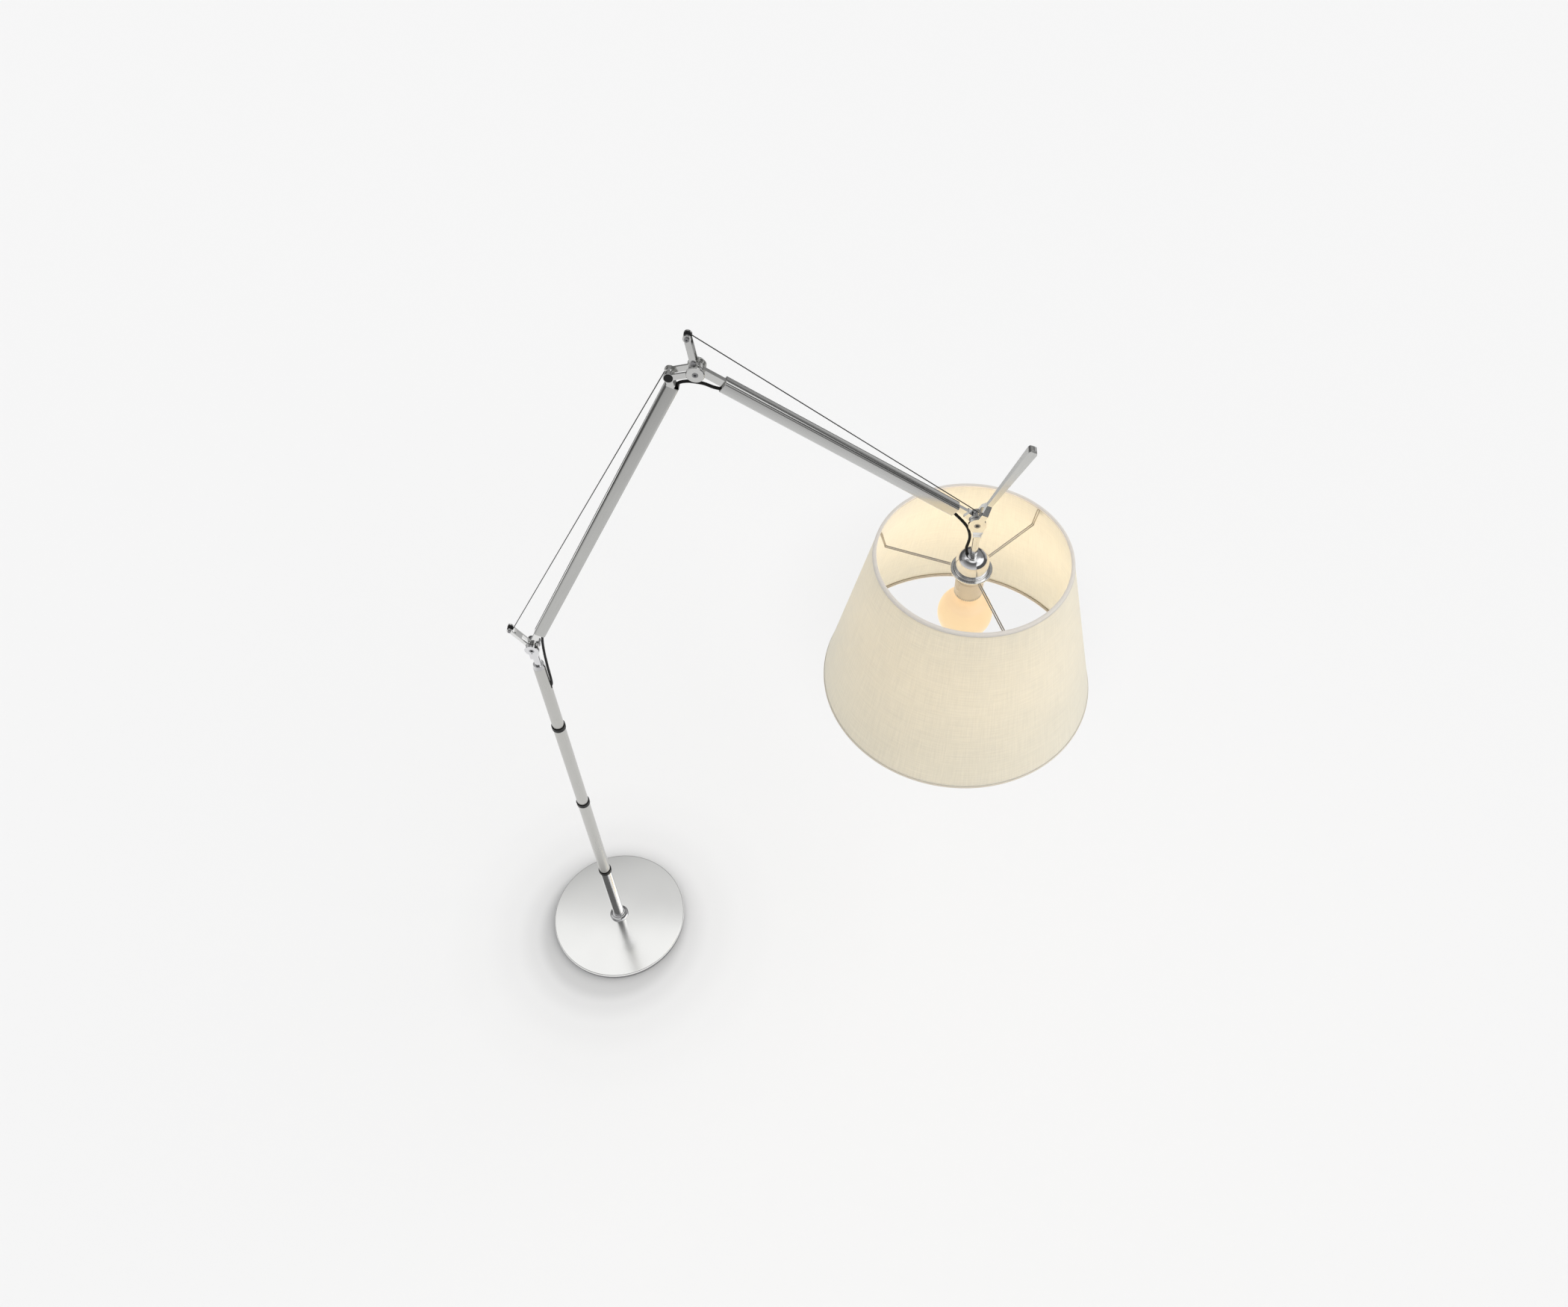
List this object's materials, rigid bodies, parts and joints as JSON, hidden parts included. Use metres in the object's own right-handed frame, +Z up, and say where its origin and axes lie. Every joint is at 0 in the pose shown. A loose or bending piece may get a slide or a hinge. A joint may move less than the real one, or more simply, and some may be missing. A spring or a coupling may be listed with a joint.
{
  "type": "adjustable arm floor lamp",
  "caption": "Floor lamp with a round weighted base, telescopic pole, two spring-balanced arms on a swivelling fork, and a tapered fabric shade aimed by a handle.",
  "frame": {"origin": "centre of the base's underside, on the floor", "axes": "+Z up along the pole; the arms reach along +X in the plane y = 0; +Y to their left"},
  "size_m": [1.0443, 0.4212, 1.6934],
  "materials": {
    "rubber": "matt",
    "weight_iron": "grey primer",
    "base_metal": "radially brushed",
    "chrome": "polished",
    "pole_satin": "satin",
    "steel": "plain",
    "black_plastic": "fine matt",
    "arm_satin": "satin",
    "joint_satin": "satin",
    "spring_steel": "oiled",
    "black_lead": "satin",
    "handle_satin": "satin",
    "ivory_plastic": "semi-gloss",
    "frosted_glass": "frosted, lit",
    "bulb_metal": "plain",
    "white_enamel": "gloss white",
    "linen": "woven",
    "binding_tape": "woven tape"
  },
  "bodies": {
    "base": {"base_pad": "rubber", "base_weight": "weight_iron", "base_cover": "base_metal", "base_hub": "chrome", "foot_plug": "steel", "base_bolt": "steel", "cord_inlet": "rubber", "pole_tube_4": "chrome", "collar_3": "black_plastic", "pole_lead_coil": "black_lead"},
    "pole_lower": {"pole_tube_3": "pole_satin", "collar_2": "black_plastic"},
    "pole_middle": {"pole_tube_2": "pole_satin", "collar_1": "black_plastic"},
    "pole_upper": {"pole_tube_1": "pole_satin", "pole_ferrule": "chrome", "lead_neck": "black_lead"},
    "swivel": {"swivel_fork": "chrome", "lower_lever": "joint_satin", "lower_lever_roller": "black_plastic", "shoulder_screws": "steel", "shoulder_axle": "steel", "shoulder_washers": "black_plastic", "shoulder_knob": "joint_satin", "lead_shoulder": "black_lead"},
    "arm_1": {"shoulder_knuckle": "joint_satin", "arm1_tube": "arm_satin", "arm1_spring": "spring_steel", "arm1_lead": "black_lead", "arm1_wire": "spring_steel", "elbow_bracket": "joint_satin", "elbow_lever": "joint_satin", "elbow_lever_roller": "black_plastic", "elbow_screws": "steel", "elbow_axle": "steel", "elbow_washers": "black_plastic", "elbow_discs": "joint_satin", "pulley_pin": "black_plastic"},
    "elbow_pulley": {"arm1_pulley": "joint_satin"},
    "arm_2": {"elbow_knuckle": "joint_satin", "arm2_tube": "arm_satin", "arm2_spring": "spring_steel", "arm2_lead": "black_lead", "arm2_wire": "spring_steel", "arm2_tongue": "joint_satin", "lead_elbow": "black_lead"},
    "head_pulley": {"arm2_pulley": "chrome"},
    "head": {"head_yoke": "joint_satin", "aim_handle": "handle_satin", "head_axle": "steel", "lead_head": "black_lead", "lamp_cap": "chrome", "shade_flange": "chrome", "spider": "white_enamel", "lamp_holder": "ivory_plastic", "bulb_cap": "bulb_metal", "bulb_globe": "frosted_glass", "shade_rings": "white_enamel", "shade_fabric": "linen", "shade_bindings": "binding_tape"}
  },
  "joints": [
    {"name": "pole_lower_slide", "type": "slide", "parent": "base", "child": "pole_lower", "axis": [0, 0, 1], "range_m": [-0.11, 0.03]},
    {"name": "pole_middle_slide", "type": "slide", "parent": "pole_lower", "child": "pole_middle", "axis": [0, 0, 1], "range_m": [-0.18, 0.03]},
    {"name": "pole_upper_slide", "type": "slide", "parent": "pole_middle", "child": "pole_upper", "axis": [0, 0, 1], "range_m": [-0.09, 0.03]},
    {"name": "swivel_turn", "type": "hinge", "parent": "pole_upper", "child": "swivel", "pos_m": [0, 0, 1], "axis": [0, 0, 1], "range_deg": [-150, 150], "deforming": ["lead_neck"]},
    {"name": "shoulder", "type": "hinge", "parent": "swivel", "child": "arm_1", "pos_m": [0, 0, 1.055], "axis": [0, 1, 0], "range_deg": [-35, 40], "deforming": ["lead_shoulder", "arm1_wire", "arm1_spring"]},
    {"name": "elbow", "type": "hinge", "parent": "arm_1", "child": "arm_2", "pos_m": [0.31637, 0, 1.63847], "axis": [0, 1, 0], "range_deg": [-45, 20], "deforming": ["lead_elbow", "arm2_wire", "arm2_spring"]},
    {"name": "head_tilt", "type": "hinge", "parent": "arm_2", "child": "head", "pos_m": [0.68111, 0, 1.39059], "axis": [0, 1, 0], "range_deg": [-35, 30], "deforming": ["lead_head"]},
    {"name": "elbow_pulley_turn", "type": "hinge", "parent": "arm_1", "child": "elbow_pulley", "pos_m": [0.28254, 0, 1.63045], "axis": [0, 1, 0], "range_deg": [-300, 300]},
    {"name": "head_pulley_turn", "type": "hinge", "parent": "arm_2", "child": "head_pulley", "pos_m": [0.67839, 0, 1.40259], "axis": [0, 1, 0], "range_deg": [-410, 410]}
  ],
  "couplings": [
    {"joint": "elbow_pulley_turn", "follows": "shoulder", "ratio": 7.4},
    {"joint": "head_pulley_turn", "follows": "elbow", "ratio": 9}
  ]
}
